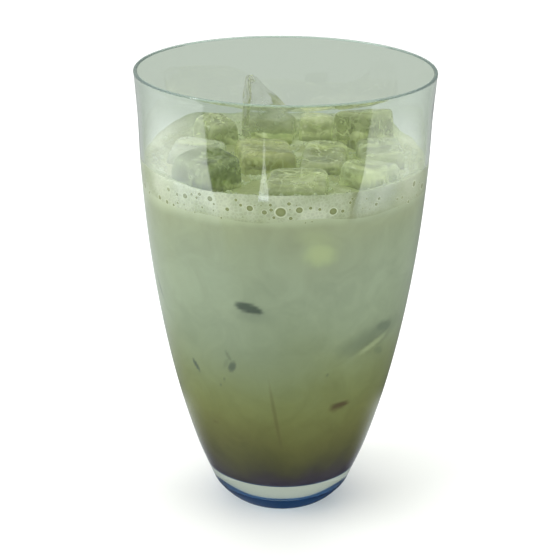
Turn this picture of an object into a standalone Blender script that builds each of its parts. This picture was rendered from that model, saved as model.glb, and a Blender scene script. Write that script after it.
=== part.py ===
# Iced matcha latte in a tall flared tumbler.
# Metres, +Z up. The origin is the middle of the glass's foot, on the surface it stands on.
# The front of the drink, where its ice shows best, faces -Y.
import math
import random

import bmesh
import bpy
from mathutils import Euler, Matrix, Vector

# ---------------------------------------------------------------- sizes, in millimetres
RIM_RADIUS = 44.0        # outside of the lip
GLASS_HEIGHT = 136.4
FOOT_RADIUS = 15.0       # flat contact disc under the heel
HEEL_HEIGHT = 6.6        # where the rounded heel meets the wall
FLOOR_HEIGHT = 11.4      # top of the thick glass bottom, at its middle
FILLET_HEIGHT = 8.0      # rounded corner between floor and wall, inside
FILLET_REACH = 8.0
LIP_WALL = 1.00          # wall thickness at the lip
FOOT_WALL_EXTRA = 3.5    # how much thicker the wall is at the floor
WALL_FALL = 12.0         # height over which that extra fades to a third
# outside radius of the wall at rising heights: a convex flare that straightens towards the lip
WALL_STATIONS = ((6.6, 21.6), (19.5, 26.7), (39.0, 32.4), (61.1, 37.05), (84.5, 40.45), (107.8, 42.45), (123.4, 43.05), (135.5, 43.9))

GAP = 0.3                # clearance between pieces that touch
DARK_TOP = 24.0          # dark sweet layer that has sunk to the bottom
MATCHA_TOP = 58.0        # olive-green matcha layer
MILK_TOP = 103.2         # pale milky layer
FOAM_TOP = 110.0         # froth, with the ice standing out of it
SEGMENTS = 40            # facets round the glass
LAYER_SEGMENTS = 32      # and round each layer of the drink

# Ice that stands out of the froth: name, centre, edge lengths, turn about X, Y, Z in degrees,
# and the directions of its three edges before that turn. Only the one that leans up against
# the others is wedge shaped, with a steep side, a sloping side and a pointed corner on top.
SQUARE = ((1.0, 0.0, 0.0), (0.0, 1.0, 0.0), (0.0, 0.0, 1.0))
WEDGE = ((0.74, -0.10, -0.64), (0.15, 0.94, -0.25), (0.05, 0.15, 0.98))
ICE = (
    ("ice_front", (4.0, -28.6, 101.4), (18.6, 19.0, 22.5), (3, -2, -4), SQUARE),
    ("ice_front_left", (-21.8, -22.5, 106.4), (16.4, 16.0, 21.5), (5, 4, -44), SQUARE),
    ("ice_right_front", (24.2, -20.3, 104.2), (14.0, 14.5, 20.5), (-4, -3, -40), SQUARE),
    ("ice_middle", (-5.8, -1.2, 102.4), (17.6, 25.0, 21.5), (-3, 3, 7), SQUARE),
    ("ice_middle_right", (12.3, -1.6, 101.8), (14.8, 23.0, 21.5), (4, -2, -5), SQUARE),
    ("ice_right", (28.6, 1.4, 103.4), (14.4, 17.5, 21.5), (3, -4, 6), SQUARE),
    ("ice_right_back", (24.4, 20.6, 108.4), (15.6, 15.2, 22.5), (-3, 4, 42), SQUARE),
    ("ice_back", (10.0, 28.8, 105.6), (11.4, 14.0, 21.0), (-4, 3, -4), SQUARE),
    ("ice_peak", (-4.6, 26.2, 111.8), (22.0, 14.5, 21.0), (0, 0, 0), WEDGE),
    ("ice_back_left", (-21.6, 23.4, 104.8), (12.0, 12.5, 22.0), (3, -3, 40), SQUARE),
    ("ice_left", (-26.6, 3.6, 101.8), (15.5, 17.5, 20.5), (3, 3, -10), SQUARE),
)


def mm(x, y, z):
    return Vector((x / 1000.0, y / 1000.0, z / 1000.0))


# ---------------------------------------------------------------- profiles
def outer_radius(z):
    """Outside radius of the wall, by a smooth curve through its stations."""
    pts = WALL_STATIONS
    if z <= pts[0][0]:
        return pts[0][1]
    if z >= pts[-1][0]:
        return pts[-1][1]
    slopes = []
    for i in range(len(pts)):
        a, b = pts[max(i - 1, 0)], pts[min(i + 1, len(pts) - 1)]
        slopes.append((b[1] - a[1]) / (b[0] - a[0]))
    for i in range(len(pts) - 1):
        (z0, r0), (z1, r1) = pts[i], pts[i + 1]
        if z <= z1:
            step = z1 - z0
            t = (z - z0) / step
            return (
                r0 * (2 * t**3 - 3 * t**2 + 1)
                + slopes[i] * step * (t**3 - 2 * t**2 + t)
                + r1 * (-2 * t**3 + 3 * t**2)
                + slopes[i + 1] * step * (t**3 - t**2)
            )
    return pts[-1][1]


def wall_at(z):
    return LIP_WALL + FOOT_WALL_EXTRA * math.exp(-(z - FLOOR_HEIGHT) / WALL_FALL)


def inner_wall_radius(z):
    return outer_radius(z) - wall_at(z)


def bezier(p0, p1, p2, p3, steps):
    """Points from p0 to p3, without p0."""
    found = []
    for k in range(1, steps + 1):
        t = k / steps
        found.append(
            tuple(
                (1 - t) ** 3 * a + 3 * (1 - t) ** 2 * t * b + 3 * (1 - t) * t * t * c + t**3 * d
                for a, b, c, d in zip(p0, p1, p2, p3)
            )
        )
    return found


def heights(low, high, count):
    """Ring heights, closer together near the foot, where the wall curves most."""
    return [low + (high - low) * (k / count) ** 1.25 for k in range(count + 1)]


def outer_profile():
    """(radius, height) from the foot's edge up to just under the lip."""
    slope = (outer_radius(HEEL_HEIGHT + 2) - outer_radius(HEEL_HEIGHT)) / 2
    corner = (outer_radius(HEEL_HEIGHT), HEEL_HEIGHT)
    heel = bezier(
        (FOOT_RADIUS, 0.0),
        (FOOT_RADIUS + 1.3, 0.0),
        (corner[0] - slope * 2.2, corner[1] - 2.2),
        corner,
        4,
    )
    wall = [(outer_radius(z), z) for z in heights(HEEL_HEIGHT, 134.6, 9)[1:]]
    return [(FOOT_RADIUS, 0.0)] + heel + wall


def inner_profile():
    """(radius, height) from the edge of the flat floor up to just under the lip."""
    top_z = FLOOR_HEIGHT + FILLET_HEIGHT
    top_r = inner_wall_radius(top_z)
    slope = (inner_wall_radius(top_z + 2) - top_r) / 2
    start = (top_r - FILLET_REACH, FLOOR_HEIGHT)
    corner = bezier(
        start,
        (start[0] + 4.8, FLOOR_HEIGHT),
        (top_r - slope * 4.4, top_z - 4.4),
        (top_r, top_z),
        4,
    )
    wall = [(inner_wall_radius(z), z) for z in heights(top_z, 134.6, 9)[1:]]
    return [start] + corner + wall


def inside_offset(profile, by):
    """The same profile moved into the hollow by a distance, along its normals."""
    moved = []
    for i, (r, z) in enumerate(profile):
        a, b = profile[max(i - 1, 0)], profile[min(i + 1, len(profile) - 1)]
        dr, dz = b[0] - a[0], b[1] - a[1]
        length = math.hypot(dr, dz)
        moved.append((r - by * dz / length, z + by * dr / length))
    return moved


DRINK_EDGE = inside_offset(inner_profile(), GAP + 0.12)


def drink_radius(z):
    """Radius of the drink at a height, clear of the glass."""
    for (r0, z0), (r1, z1) in zip(DRINK_EDGE, DRINK_EDGE[1:]):
        if z <= z1:
            return r0 + (r1 - r0) * max(0.0, (z - z0)) / (z1 - z0)
    return DRINK_EDGE[-1][0]


# ---------------------------------------------------------------- mesh helpers
def material(name, colour, roughness, transmission=0.0, ior=1.45):
    made = bpy.data.materials.new(name)
    made.use_nodes = True
    shader = made.node_tree.nodes["Principled BSDF"]
    shader.inputs["Base Color"].default_value = (*colour, 1.0)
    shader.inputs["Roughness"].default_value = roughness
    shader.inputs["Metallic"].default_value = 0.0
    shader.inputs["Transmission Weight"].default_value = transmission
    shader.inputs["IOR"].default_value = ior
    return made


def new_object(name, bm, mat):
    mesh = bpy.data.meshes.new(name)
    bmesh.ops.recalc_face_normals(bm, faces=bm.faces)
    bm.to_mesh(mesh)
    bm.free()
    mesh.materials.append(mat)
    mesh.shade_smooth()
    mesh.set_sharp_from_angle(angle=math.radians(40))
    made = bpy.data.objects.new(name, mesh)
    bpy.context.scene.collection.objects.link(made)
    return made


def close_rings(bm, rings):
    """Skins rings of equal count, and closes both ends on a middle point."""
    for low, high in zip(rings, rings[1:]):
        for k in range(len(low)):
            n = (k + 1) % len(low)
            bm.faces.new((low[k], low[n], high[n], high[k]))
    for ring in (rings[0], rings[-1]):
        centre = sum((v.co for v in ring), Vector()) / len(ring)
        middle = bm.verts.new(centre)
        for k in range(len(ring)):
            bm.faces.new((middle, ring[k], ring[(k + 1) % len(ring)]))


def turned(name, profile, mat):
    """A solid of revolution about Z, its profile's two ends joined to the axis."""
    bm = bmesh.new()
    rings = []
    for r, z in profile:
        ring = []
        for k in range(SEGMENTS):
            a = 2 * math.pi * k / SEGMENTS
            ring.append(bm.verts.new(mm(r * math.cos(a), r * math.sin(a), z)))
        rings.append(ring)
    close_rings(bm, rings)
    return new_object(name, bm, mat)


def swirl(x, y, seed):
    """Slow waves of a poured layer's surface, in millimetres, from -1 to 1."""
    rng = random.Random(seed)
    total = 0.0
    for k in range(4):
        ang, phase = rng.uniform(0, math.tau), rng.uniform(0, math.tau)
        length = rng.uniform(24, 60)
        total += math.sin((x * math.cos(ang) + y * math.sin(ang)) * math.tau / length + phase) / 4
    return total


def froth(x, y, radius):
    """Relief of the froth: soft mounds, and a meniscus where it climbs the glass."""
    rise = 0.55 * swirl(x, y, 11) + 0.25 * math.sin(x * 0.9 + 1.3) * math.sin(y * 0.8)
    edge = max(0.0, 1.0 - (radius - math.hypot(x, y)) / 3.0)
    return rise + 0.7 * edge * edge


def layer(name, bottom, top, mat, under=None, over=None, shares=(0.35, 0.75)):
    """One layer of the drink. under and over give its surfaces' heights at (x, y);
    without under, it follows the floor of the glass. shares are the top's inner rings."""
    bm = bmesh.new()

    def cap(level, shape, shares):
        rings = []
        edge = drink_radius(level)
        for share in shares:
            ring = []
            for k in range(LAYER_SEGMENTS):
                a = 2 * math.pi * k / LAYER_SEGMENTS
                z = level + shape(edge * share * math.cos(a), edge * share * math.sin(a))
                r = drink_radius(z) * share
                ring.append(bm.verts.new(mm(r * math.cos(a), r * math.sin(a), z)))
            rings.append(ring)
        return rings

    rings = []
    if under is None:
        for r, z in DRINK_EDGE[:5]:
            rings.append([bm.verts.new(mm(r * math.cos(2 * math.pi * k / LAYER_SEGMENTS), r * math.sin(2 * math.pi * k / LAYER_SEGMENTS), z)) for k in range(LAYER_SEGMENTS)])
        low = DRINK_EDGE[4][1]
    else:
        rings += cap(bottom, under, (0.35, 0.75, 1.0))
        low = bottom
    count = max(1, int((top - low) / 11.0))
    for j in range(1, count):
        share = j / count
        ring = []
        for k in range(LAYER_SEGMENTS):
            a = 2 * math.pi * k / LAYER_SEGMENTS
            z0 = low + (under(drink_radius(low) * math.cos(a), drink_radius(low) * math.sin(a)) if under else 0.0)
            z1 = top + over(drink_radius(top) * math.cos(a), drink_radius(top) * math.sin(a))
            z = z0 + (z1 - z0) * share
            ring.append(bm.verts.new(mm(drink_radius(z) * math.cos(a), drink_radius(z) * math.sin(a), z)))
        rings.append(ring)
    rings += cap(top, over, (1.0,) + shares[::-1])
    close_rings(bm, rings)
    return new_object(name, bm, mat)


def ice_mesh(size, seed, edges, grow=0.0):
    """A moulded ice cube: tapered, well rounded at its edges, its faces a little sunk and uneven."""
    rng = random.Random(seed)
    bm = bmesh.new()
    bmesh.ops.create_cube(bm, size=1.0)
    for v in bm.verts:
        taper = 1.0 - 0.04 * (v.co.z + 0.5)
        jitter = Vector((rng.uniform(-1, 1), rng.uniform(-1, 1), rng.uniform(-1, 1)))
        v.co = Vector((v.co.x * size[0] * taper, v.co.y * size[1] * taper, v.co.z * size[2])) + jitter * 0.7
    sides = list(bm.faces)
    for dip in bmesh.ops.poke(bm, faces=sides, offset=-0.55, center_mode="MEAN")["verts"]:
        dip.co += Vector((rng.uniform(-1, 1), rng.uniform(-1, 1), rng.uniform(-1, 1))) * 0.25
    sharp = [e for e in bm.edges if e.calc_face_angle(0.0) > math.radians(50)]
    bmesh.ops.bevel(bm, geom=sharp, offset=2.8, segments=2, profile=0.55, affect="EDGES", clamp_overlap=True)
    for v in bm.verts:
        v.co = sum((Vector(edge) * c for edge, c in zip(edges, v.co)), Vector())
    bmesh.ops.remove_doubles(bm, verts=bm.verts, dist=0.02)
    bmesh.ops.recalc_face_normals(bm, faces=bm.faces)
    bmesh.ops.triangulate(bm, faces=bm.faces)
    if grow:
        bm.normal_update()
        moved = {v: v.co + v.normal * grow * v.calc_shell_factor() for v in bm.verts}
        for v, co in moved.items():
            v.co = co
    for v in bm.verts:
        v.co = v.co / 1000.0
    return bm


def place(obj, centre, turn):
    obj.rotation_euler = Euler([math.radians(t) for t in turn], "XYZ")
    obj.location = mm(*centre)


# ---------------------------------------------------------------- the model
for old in list(bpy.data.objects):
    bpy.data.objects.remove(old, do_unlink=True)

clear_glass = material("clear_glass", (0.93, 0.97, 0.95), 0.02, 1.0, 1.50)
dark_sweet = material("dark_sweet_layer", (0.075, 0.060, 0.052), 0.35)
matcha = material("matcha_layer", (0.150, 0.190, 0.075), 0.4)
milk = material("milky_matcha", (0.330, 0.400, 0.270), 0.4)
froth_mat = material("froth", (0.560, 0.640, 0.450), 0.55)
clear_ice = material("clear_ice", (0.88, 0.95, 0.84), 0.05, 1.0, 1.31)

body = bpy.data.objects.new("iced_latte", None)
bpy.context.scene.collection.objects.link(body)

# The tumbler: heel, convex wall, rounded lip, thin wall, filleted floor, in one turned solid.
lip_out, lip_in = outer_radius(135.5), inner_wall_radius(135.5)
lip = [
    (RIM_RADIUS - 0.06, 135.75),
    (lip_out - 0.40, GLASS_HEIGHT),
    (lip_in + 0.35, GLASS_HEIGHT),
    (lip_in + 0.02, 135.7),
]
lip[0] = (RIM_RADIUS, 135.6)
glass = turned("glass", outer_profile() + lip + inner_profile()[::-1], clear_glass)
glass.parent = body

# The drink, from the floor up: each layer's top is the next one's bottom, less the gap.
over_dark = lambda x, y: 1.5 * swirl(x, y, 3)
over_matcha = lambda x, y: 2.2 * swirl(x, y, 5)
over_milk = lambda x, y: 0.9 * swirl(x, y, 7)
layers = [
    layer("dark_layer", None, DARK_TOP, dark_sweet, None, over_dark),
    layer("matcha_layer", DARK_TOP + GAP, MATCHA_TOP, matcha, over_dark, over_matcha),
    layer("milk_layer", MATCHA_TOP + GAP, MILK_TOP, milk, over_matcha, over_milk),
    layer("foam", MILK_TOP + GAP, FOAM_TOP, froth_mat, over_milk, lambda x, y: froth(x, y, drink_radius(FOAM_TOP)), (0.3, 0.62, 0.9)),
]

for number, (name, centre, size, turn, edges) in enumerate(ICE):
    cube = new_object(name, ice_mesh(size, 40 + number, edges), clear_ice)
    place(cube, centre, turn)
    cube.parent = body
    cutter = new_object(name + "_room", ice_mesh(size, 40 + number, edges, GAP), clear_ice)
    place(cutter, centre, turn)
    cutter.hide_render = True
    cutter.display_type = "WIRE"
    cutter.parent = body
    for part in layers[2:]:
        cut = part.modifiers.new("room_for_" + name, "BOOLEAN")
        cut.operation = "DIFFERENCE"
        cut.solver = "EXACT"
        cut.object = cutter

for part in layers:
    part.parent = body
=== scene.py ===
# Iced matcha latte in a tall flared tumbler: the looks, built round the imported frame.
# Metres in the scene; the helper functions below work in millimetres and convert at the end.
import math
import random

import bmesh
import bpy
import numpy as np
from mathutils import Euler, Matrix, Vector, noise
from mathutils.bvhtree import BVHTree


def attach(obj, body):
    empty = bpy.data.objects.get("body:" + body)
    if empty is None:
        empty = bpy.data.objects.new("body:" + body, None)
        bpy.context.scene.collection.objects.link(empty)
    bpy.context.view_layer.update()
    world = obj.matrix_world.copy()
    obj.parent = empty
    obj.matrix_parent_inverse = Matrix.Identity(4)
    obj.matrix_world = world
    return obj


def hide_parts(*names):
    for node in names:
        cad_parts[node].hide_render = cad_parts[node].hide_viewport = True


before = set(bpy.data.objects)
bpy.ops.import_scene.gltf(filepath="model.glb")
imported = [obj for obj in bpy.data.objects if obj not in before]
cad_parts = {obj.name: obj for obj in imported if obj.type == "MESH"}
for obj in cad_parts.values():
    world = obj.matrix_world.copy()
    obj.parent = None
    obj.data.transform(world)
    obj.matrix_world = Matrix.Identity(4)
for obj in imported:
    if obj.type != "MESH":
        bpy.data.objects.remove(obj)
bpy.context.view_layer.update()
scene = bpy.context.scene

# ---------------------------------------------------------------- sizes, in millimetres
RIM_RADIUS = 44.0
GLASS_HEIGHT = 136.4
FOOT_RADIUS = 15.0
HEEL_HEIGHT = 6.6
FLOOR_HEIGHT = 11.4
FILLET_HEIGHT = 8.0
FILLET_REACH = 8.0
LIP_WALL = 1.00
FOOT_WALL_EXTRA = 3.5
WALL_FALL = 12.0
WALL_STATIONS = ((6.6, 21.6), (19.5, 26.7), (39.0, 32.4), (61.1, 37.05), (84.5, 40.45), (107.8, 42.45), (123.4, 43.05), (135.5, 43.9))
DARK_TOP = 24.0
MATCHA_TOP = 58.0
MILK_TOP = 103.2
FOAM_TOP = 110.0
INTO_WALL = 0.25         # how far the drink reaches into the glass, so that no air shows between them

SQUARE = ((1.0, 0.0, 0.0), (0.0, 1.0, 0.0), (0.0, 0.0, 1.0))
WEDGE = ((0.74, -0.10, -0.64), (0.15, 0.94, -0.25), (0.05, 0.15, 0.98))
ICE = (
    ("ice_front", (4.0, -28.6, 101.4), (18.6, 19.0, 22.5), (3, -2, -4), SQUARE),
    ("ice_front_left", (-21.8, -22.5, 106.4), (16.4, 16.0, 21.5), (5, 4, -44), SQUARE),
    ("ice_right_front", (24.2, -20.3, 104.2), (14.0, 14.5, 20.5), (-4, -3, -40), SQUARE),
    ("ice_middle", (-5.8, -1.2, 102.4), (17.6, 25.0, 21.5), (-3, 3, 7), SQUARE),
    ("ice_middle_right", (12.3, -1.6, 101.8), (14.8, 23.0, 21.5), (4, -2, -5), SQUARE),
    ("ice_right", (28.6, 1.4, 103.4), (14.4, 17.5, 21.5), (3, -4, 6), SQUARE),
    ("ice_right_back", (24.4, 20.6, 108.4), (15.6, 15.2, 22.5), (-3, 4, 42), SQUARE),
    ("ice_back", (10.0, 28.8, 105.6), (11.4, 14.0, 21.0), (-4, 3, -4), SQUARE),
    ("ice_peak", (-4.6, 26.2, 111.8), (22.0, 14.5, 21.0), (0, 0, 0), WEDGE),
    ("ice_back_left", (-21.6, 23.4, 104.8), (12.0, 12.5, 22.0), (3, -3, 40), SQUARE),
    ("ice_left", (-26.6, 3.6, 101.8), (15.5, 17.5, 20.5), (3, 3, -10), SQUARE),
)
# Each cube's tone, how clear it is, and the height above which froth has stayed on top of it.
ICE_LOOKS = {
    "ice_front": ((0.430, 0.480, 0.250), 0.62, None),
    "ice_front_left": ((0.160, 0.210, 0.062), 0.62, 117.6),
    "ice_right_front": ((0.370, 0.420, 0.220), 0.62, None),
    "ice_middle": ((0.380, 0.410, 0.165), 0.62, None),
    "ice_middle_right": ((0.390, 0.440, 0.215), 0.62, None),
    "ice_right": ((0.310, 0.360, 0.185), 0.62, None),
    "ice_right_back": ((0.340, 0.380, 0.190), 0.64, None),
    "ice_back": ((0.540, 0.570, 0.360), 0.62, None),
    "ice_peak": ((0.900, 0.930, 0.830), 0.97, None),
    "ice_back_left": ((0.420, 0.460, 0.270), 0.62, None),
    "ice_left": ((0.400, 0.450, 0.290), 0.62, 111.9),
}

# Ice that floats under the surface and comes close to the wall: azimuth from the front (to the
# right), height, turn in the wall's plane, size, and how far past the drink's skin it reaches
# (below zero: a film of milk stays over it).
SUNK = (
    (44.0, 62.5, -6, 17.0, -1.6),
    (-14.0, 77.0, -13, 16.0, -1.6),
    (-46.0, 53.0, -50, 15.0, -1.6),
    (110.0, 80.0, 20, 17.0, -1.6),
    (-126.0, 62.0, 35, 17.0, -1.6),
    (172.0, 66.0, 10, 18.0, -1.6),
    (-80.0, 76.0, -60, 15.0, -1.6),
)
# Where it shows through as a cold dark spot: azimuth, height, turn, length, width, strength, softness.
COLD = (
    (-14.3, 76.3, -13, 7.6, 2.9, 0.95, 0.22),
    (-13.0, 74.2, -8, 9.5, 4.6, 0.22, 0.60),
    (46.0, 63.2, 7, 20.0, 6.5, 0.42, 0.55),
    (52.5, 65.4, -12, 8.0, 3.4, 0.60, 0.45),
    (39.0, 61.6, 12, 7.0, 2.4, 0.30, 0.50),
    (-45.9, 53.0, -53, 3.8, 1.4, 0.90, 0.30),
    (-25.2, 59.4, -65, 3.8, 1.1, 0.45, 0.40),
    (-23.8, 56.2, 62, 3.6, 2.0, 0.80, 0.35),
    (-27.0, 56.8, 62, 3.4, 1.4, 0.35, 0.60),
    (-69.5, 74.0, -64, 7.6, 1.3, 0.55, 0.35),
    (51.3, 57.6, -30, 5.0, 2.0, 0.32, 0.50),
    (-28.9, 50.9, 0, 0.8, 0.8, 0.60, 0.40),
    (-31.5, 49.0, 0, 0.7, 0.7, 0.45, 0.40),
    (21.8, 53.6, 0, 0.9, 0.8, 0.55, 0.40),
    (-24.0, 60.5, 0, 30.0, 18.0, 0.15, 1.00),
    (56.0, 57.0, 0, 22.0, 26.0, 0.12, 1.00),
    (110.0, 80.0, 20, 15.0, 7.0, 0.40, 0.50),
    (-126.0, 62.0, 35, 13.0, 6.0, 0.42, 0.50),
    (-118.0, 65.0, 10, 5.0, 2.0, 0.70, 0.30),
    (146.0, 56.0, -30, 7.0, 2.6, 0.80, 0.30),
    (172.0, 66.5, 10, 16.0, 6.0, 0.35, 0.50),
    (-160.0, 84.0, 15, 8.0, 2.8, 0.85, 0.28),
    (178.0, 44.0, 40, 4.0, 1.8, 0.60, 0.35),
    (84.0, 47.0, 60, 4.4, 1.6, 0.60, 0.35),
    (-96.0, 45.0, 20, 3.6, 1.5, 0.60, 0.35),
    (120.0, 92.0, 50, 3.0, 1.4, 0.50, 0.40),
)
# Brownish stains and a thin olive run of unmixed tea, in the same order.
STAINS = (
    (31.8, 42.0, 0, 5.4, 1.8, 0.92, 0.35),
    (29.0, 41.0, 0, 2.6, 1.3, 0.60, 0.50),
    (-3.4, 40.0, 98, 19.0, 0.9, 0.34, 0.45),
    (-40.0, 34.0, 0, 1.6, 0.8, 0.30, 0.50),
    (134.0, 40.0, -5, 5.0, 1.6, 0.60, 0.40),
    (-150.0, 45.0, 86, 15.0, 0.9, 0.34, 0.45),
)
# In the same order: in front, a painted glint where sunk ice comes near the wall and a painted highlight line under
# the right cold spot; further round, paler patches.
GLINTS_AND_PALE_PATCHES = (
    (13.0, 97.5, -30, 9.0, 5.0, 0.40, 0.75),
    (14.6, 93.4, -10, 7.0, 5.4, 0.90, 0.60),
    (46.0, 60.6, 18, 9.5, 1.6, 0.50, 0.50),
    (100.0, 94.0, -30, 10.0, 6.0, 0.50, 0.70),
    (-140.0, 94.0, 30, 12.0, 6.0, 0.50, 0.70),
    (165.0, 90.0, 60, 9.0, 4.0, 0.40, 0.70),
)


# ---------------------------------------------------------------- profiles
def outer_radius(z):
    """Outside radius of the wall, by a smooth curve through its stations."""
    pts = WALL_STATIONS
    if z <= pts[0][0]:
        return pts[0][1]
    if z >= pts[-1][0]:
        return pts[-1][1]
    slopes = []
    for i in range(len(pts)):
        a, b = pts[max(i - 1, 0)], pts[min(i + 1, len(pts) - 1)]
        slopes.append((b[1] - a[1]) / (b[0] - a[0]))
    for i in range(len(pts) - 1):
        (z0, r0), (z1, r1) = pts[i], pts[i + 1]
        if z <= z1:
            step = z1 - z0
            t = (z - z0) / step
            return (
                r0 * (2 * t**3 - 3 * t**2 + 1)
                + slopes[i] * step * (t**3 - 2 * t**2 + t)
                + r1 * (-2 * t**3 + 3 * t**2)
                + slopes[i + 1] * step * (t**3 - t**2)
            )
    return pts[-1][1]


def inner_wall_radius(z):
    return outer_radius(z) - LIP_WALL - FOOT_WALL_EXTRA * math.exp(-(z - FLOOR_HEIGHT) / WALL_FALL)


def bezier(p0, p1, p2, p3, steps):
    found = []
    for k in range(1, steps + 1):
        t = k / steps
        found.append(
            tuple(
                (1 - t) ** 3 * a + 3 * (1 - t) ** 2 * t * b + 3 * (1 - t) * t * t * c + t**3 * d
                for a, b, c, d in zip(p0, p1, p2, p3)
            )
        )
    return found


def outer_profile():
    slope = (outer_radius(HEEL_HEIGHT + 2) - outer_radius(HEEL_HEIGHT)) / 2
    corner = (outer_radius(HEEL_HEIGHT), HEEL_HEIGHT)
    heel = bezier((FOOT_RADIUS, 0.0), (FOOT_RADIUS + 1.3, 0.0), (corner[0] - slope * 2.2, corner[1] - 2.2), corner, 18)
    steps = 64
    wall = [(outer_radius(z), z) for z in (HEEL_HEIGHT + (134.6 - HEEL_HEIGHT) * k / steps for k in range(1, steps + 1))]
    return [(FOOT_RADIUS, 0.0)] + heel + wall


def inner_profile():
    top_z = FLOOR_HEIGHT + FILLET_HEIGHT
    top_r = inner_wall_radius(top_z)
    slope = (inner_wall_radius(top_z + 2) - top_r) / 2
    start = (top_r - FILLET_REACH, FLOOR_HEIGHT)
    corner = bezier(start, (start[0] + 4.8, FLOOR_HEIGHT), (top_r - slope * 4.4, top_z - 4.4), (top_r, top_z), 16)
    steps = 60
    wall = [(inner_wall_radius(z), z) for z in (top_z + (134.6 - top_z) * k / steps for k in range(1, steps + 1))]
    return [start] + corner + wall


def outside_offset(profile, by):
    """The inner profile moved into the glass, along its normals."""
    moved = []
    for i, (r, z) in enumerate(profile):
        a, b = profile[max(i - 1, 0)], profile[min(i + 1, len(profile) - 1)]
        dr, dz = b[0] - a[0], b[1] - a[1]
        length = math.hypot(dr, dz)
        moved.append((r + by * dz / length, z - by * dr / length))
    return moved


DRINK_EDGE = outside_offset(inner_profile(), INTO_WALL)
EDGE_Z = np.array([p[1] for p in DRINK_EDGE])
EDGE_R = np.array([p[0] for p in DRINK_EDGE])


def drink_radius(z):
    return float(np.interp(z, EDGE_Z, EDGE_R))


# ---------------------------------------------------------------- slow waves and noises
def swirl(x, y, seed):
    rng = random.Random(seed)
    total = 0.0
    for k in range(4):
        ang, phase = rng.uniform(0, math.tau), rng.uniform(0, math.tau)
        length = rng.uniform(24, 60)
        total += math.sin((x * math.cos(ang) + y * math.sin(ang)) * math.tau / length + phase) / 4
    return total


def over_dark(x, y):
    return 1.5 * swirl(x, y, 3)


def over_matcha(x, y):
    return 2.2 * swirl(x, y, 5)


def over_milk(x, y):
    return 0.9 * swirl(x, y, 7)


def smooth(a, b, t):
    t = min(max((t - a) / (b - a), 0.0), 1.0)
    return t * t * (3 - 2 * t)


def froth_relief(x, y):
    """Relief of the froth: soft mounds, fine lumps, and a meniscus where it climbs the glass, highest at the back."""
    radius = drink_radius(FOAM_TOP)
    p = Vector((x, y, 0.0))
    rise = 0.45 * swirl(x, y, 11)
    rise += 0.32 * noise.noise(p * 0.16) + 0.16 * noise.noise(p * 0.45 + Vector((7, 3, 1)))
    rise += 0.07 * noise.noise(p * 1.3 + Vector((2, 9, 4)))
    edge = max(0.0, 1.0 - (radius - math.hypot(x, y)) / 3.0)
    climb = max(0.0, 1.0 - (radius - math.hypot(x, y)) / 2.2)
    rise += (3.3 + 1.6 * noise.noise(p * 0.12 + Vector((4, 1, 6)))) * smooth(6, 30, y) * climb * climb
    return rise + 0.75 * edge * edge - 2.1 * smooth(39.6, 36.0, math.hypot(x, y))


# ---------------------------------------------------------------- mesh helpers
def new_object(name, bm, mats, smooth_angle=40.0):
    mesh = bpy.data.meshes.new(name)
    bm.to_mesh(mesh)
    bm.free()
    for mat in mats:
        mesh.materials.append(mat)
    mesh.shade_smooth()
    if smooth_angle:
        mesh.set_sharp_from_angle(angle=math.radians(smooth_angle))
    made = bpy.data.objects.new(name, mesh)
    scene.collection.objects.link(made)
    return made


def to_metres(bm):
    for v in bm.verts:
        v.co = v.co / 1000.0


def angles(count, front_gain=0.0):
    """Angles round the axis, starting at the front and closer together there when front_gain > 0."""
    found = []
    for k in range(count):
        t = math.tau * k / count
        found.append(-math.pi / 2 + t - front_gain * math.sin(t))
    return found


def turned(name, profile, mats, count, pick=None):
    """A closed solid of revolution; the profile starts and ends on the axis."""
    bm = bmesh.new()
    turns = angles(count)
    rings = []
    for r, z in profile:
        if r < 1e-6:
            rings.append([bm.verts.new((0, 0, z))])
        else:
            rings.append([bm.verts.new((r * math.cos(a), r * math.sin(a), z)) for a in turns])
    for low, high in zip(rings, rings[1:]):
        for k in range(count):
            n = (k + 1) % count
            if len(low) == 1:
                face = bm.faces.new((low[0], high[n], high[k]))
            elif len(high) == 1:
                face = bm.faces.new((low[k], low[n], high[0]))
            else:
                face = bm.faces.new((low[k], low[n], high[n], high[k]))
            if pick:
                face.material_index = pick(face)
    bmesh.ops.recalc_face_normals(bm, faces=bm.faces)
    to_metres(bm)
    return new_object(name, bm, mats)


# ---------------------------------------------------------------- material helpers
def tree(name):
    mat = bpy.data.materials.new(name)
    mat.use_nodes = True
    nodes, links = mat.node_tree.nodes, mat.node_tree.links
    return mat, nodes, links, nodes["Principled BSDF"]


def lin(r, g, b):
    """A display colour, 0 to 255, as linear light."""
    return tuple((c / 255 / 12.92) if c <= 10 else ((c / 255 + 0.055) / 1.055) ** 2.4 for c in (r, g, b))


def node(nodes, kind, **values):
    made = nodes.new(kind)
    for key, value in values.items():
        setattr(made, key, value)
    return made


def see_lamps(mat, tint):
    """Lets lamps and bounced light reach what is behind the clear body."""
    nodes, links = mat.node_tree.nodes, mat.node_tree.links
    bsdf = nodes["Principled BSDF"]
    out = nodes["Material Output"]
    path = nodes.new("ShaderNodeLightPath")
    most = node(nodes, "ShaderNodeMath", operation="MAXIMUM")
    clear = nodes.new("ShaderNodeBsdfTransparent")
    clear.inputs["Color"].default_value = (*tint, 1.0)
    mix = nodes.new("ShaderNodeMixShader")
    links.new(path.outputs["Is Shadow Ray"], most.inputs[0])
    links.new(path.outputs["Is Diffuse Ray"], most.inputs[1])
    links.new(most.outputs[0], mix.inputs[0])
    links.new(bsdf.outputs[0], mix.inputs[1])
    links.new(clear.outputs[0], mix.inputs[2])
    links.new(mix.outputs[0], out.inputs["Surface"])


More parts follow.
